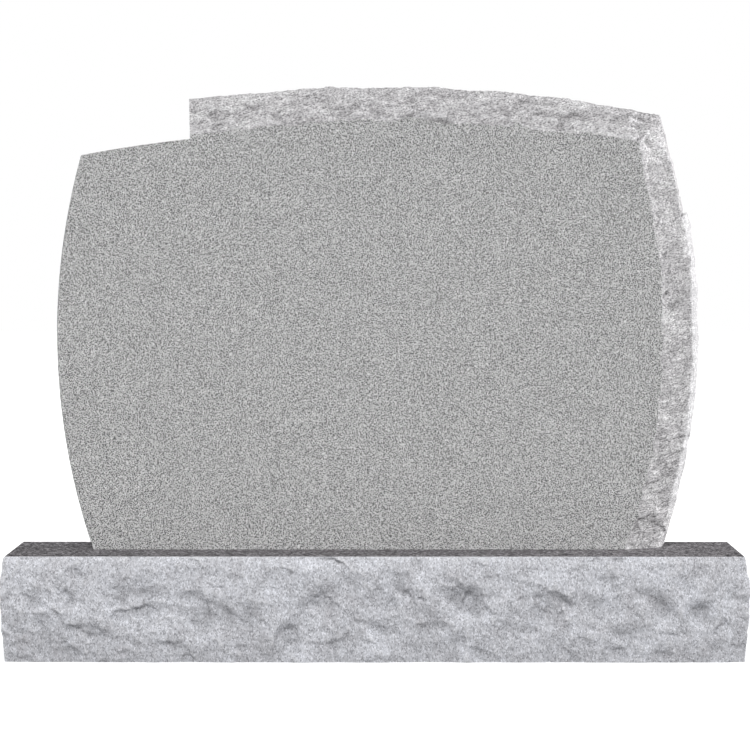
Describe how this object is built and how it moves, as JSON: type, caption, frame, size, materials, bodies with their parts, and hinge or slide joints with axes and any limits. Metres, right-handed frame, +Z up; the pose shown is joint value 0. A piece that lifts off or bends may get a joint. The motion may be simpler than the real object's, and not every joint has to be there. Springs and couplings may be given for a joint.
{
  "type": "grave marker",
  "caption": "Upright granite grave marker: a smooth-faced tablet with one bowed side and a rock-pitched top and right edge, on a rock-pitched base.",
  "frame": {"origin": "on the ground, under the middle of the base", "axes": "+X to the right along the base, seen from the front; -Y out of the tablet's smooth face; +Z up"},
  "size_m": [1.4389, 0.3915, 1.1144],
  "materials": {
    "pitched_granite": "rock-pitched grey granite",
    "steeled_granite": "steeled grey granite"
  },
  "bodies": {
    "root": {"base": "pitched_granite", "tablet": "steeled_granite"}
  },
  "joints": []
}
